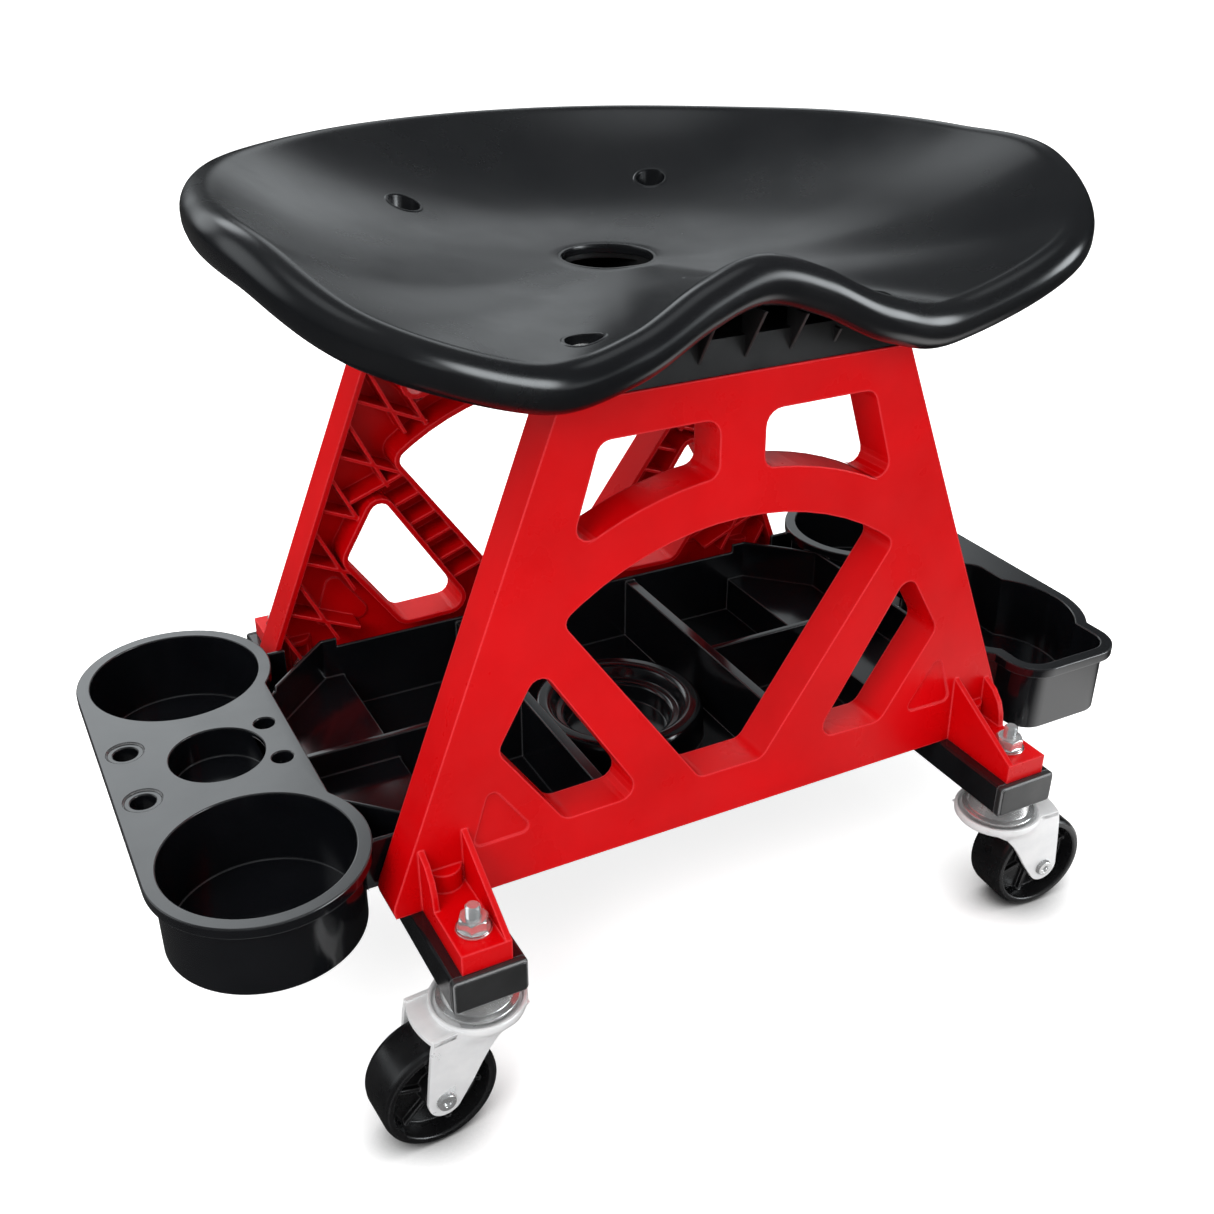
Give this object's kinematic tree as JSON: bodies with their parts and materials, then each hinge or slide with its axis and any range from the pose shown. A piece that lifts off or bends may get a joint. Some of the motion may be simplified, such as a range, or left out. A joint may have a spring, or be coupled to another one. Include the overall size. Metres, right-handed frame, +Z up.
{
  "type": "rolling tractor seat stool",
  "caption": "Rolling garage stool: moulded tractor seat on two A-frame panels with a tool tray, lift-off side trays and swivel casters.",
  "frame": {"origin": "on the floor, at the middle of the frame of tubes and panels", "axes": "+X runs along the long side towards the parts bin, the sitter faces -Y, +Z is up"},
  "size_m": [0.62, 0.4123, 0.4441],
  "materials": {
    "seat_plastic": "satin-gloss moulded black",
    "base_plastic": "plain moulded black",
    "red_plastic": "gloss moulded red",
    "tube_paint": "gloss black enamel",
    "cap_plastic": "satin black",
    "tray_plastic": "high-gloss moulded black",
    "zinc": "bright zinc plate",
    "zinc_fork": "bright zinc plate on pressed steel",
    "ball_steel": "polished steel",
    "wheel_plastic": "hard black nylon"
  },
  "bodies": {
    "frame": {"seat": "seat_plastic", "seat_base": "base_plastic", "seat_bolts": "zinc", "panel_front": "red_plastic", "panel_rear": "red_plastic", "tube_left": "tube_paint", "tube_right": "tube_paint", "tube_caps": "cap_plastic", "panel_bolts": "zinc", "caster_nuts": "zinc", "main_tray": "tray_plastic", "stem_fl": "zinc", "race_fl": "zinc", "stem_fr": "zinc", "race_fr": "zinc", "stem_rl": "zinc", "race_rl": "zinc", "stem_rr": "zinc", "race_rr": "zinc"},
    "cup_tray": {"tray_left": "tray_plastic"},
    "bin_tray": {"tray_right": "tray_plastic"},
    "swivel_fl": {"fork_fl": "zinc_fork", "balls_fl": "ball_steel", "axle_fl": "zinc"},
    "roller_fl": {"wheel_fl": "wheel_plastic", "bush_fl": "ball_steel"},
    "swivel_fr": {"fork_fr": "zinc_fork", "balls_fr": "ball_steel", "axle_fr": "zinc"},
    "roller_fr": {"wheel_fr": "wheel_plastic", "bush_fr": "ball_steel"},
    "swivel_rl": {"fork_rl": "zinc_fork", "balls_rl": "ball_steel", "axle_rl": "zinc"},
    "roller_rl": {"wheel_rl": "wheel_plastic", "bush_rl": "ball_steel"},
    "swivel_rr": {"fork_rr": "zinc_fork", "balls_rr": "ball_steel", "axle_rr": "zinc"},
    "roller_rr": {"wheel_rr": "wheel_plastic", "bush_rr": "ball_steel"}
  },
  "joints": [
    {"name": "cup_tray_lift", "type": "slide", "parent": "frame", "child": "cup_tray", "axis": [0, 0, 1], "range_m": [0, 0.08]},
    {"name": "bin_tray_lift", "type": "slide", "parent": "frame", "child": "bin_tray", "axis": [0, 0, 1], "range_m": [0, 0.08]},
    {"name": "swivel_turn_fl", "type": "hinge", "parent": "frame", "child": "swivel_fl", "pos_m": [-0.171, -0.171, 0.072], "axis": [0, 0, 1], "continuous": true},
    {"name": "wheel_spin_fl", "type": "hinge", "parent": "swivel_fl", "child": "roller_fl", "pos_m": [-0.19922, -0.17307, 0.0317], "axis": [0.0732, -0.9973, 0], "continuous": true},
    {"name": "swivel_turn_fr", "type": "hinge", "parent": "frame", "child": "swivel_fr", "pos_m": [0.171, -0.171, 0.072], "axis": [0, 0, 1], "continuous": true},
    {"name": "wheel_spin_fr", "type": "hinge", "parent": "swivel_fr", "child": "roller_fr", "pos_m": [0.19924, -0.17278, 0.0317], "axis": [0.0628, 0.998, 0], "continuous": true},
    {"name": "swivel_turn_rl", "type": "hinge", "parent": "frame", "child": "swivel_rl", "pos_m": [-0.171, 0.171, 0.072], "axis": [0, 0, 1], "continuous": true},
    {"name": "wheel_spin_rl", "type": "hinge", "parent": "swivel_rl", "child": "roller_rl", "pos_m": [-0.19923, 0.17297, 0.0317], "axis": [-0.0698, -0.9976, 0], "continuous": true},
    {"name": "swivel_turn_rr", "type": "hinge", "parent": "frame", "child": "swivel_rr", "pos_m": [0.171, 0.171, 0.072], "axis": [0, 0, 1], "continuous": true},
    {"name": "wheel_spin_rr", "type": "hinge", "parent": "swivel_rr", "child": "roller_rr", "pos_m": [0.19926, 0.17248, 0.0317], "axis": [-0.0523, 0.9986, 0], "continuous": true}
  ]
}
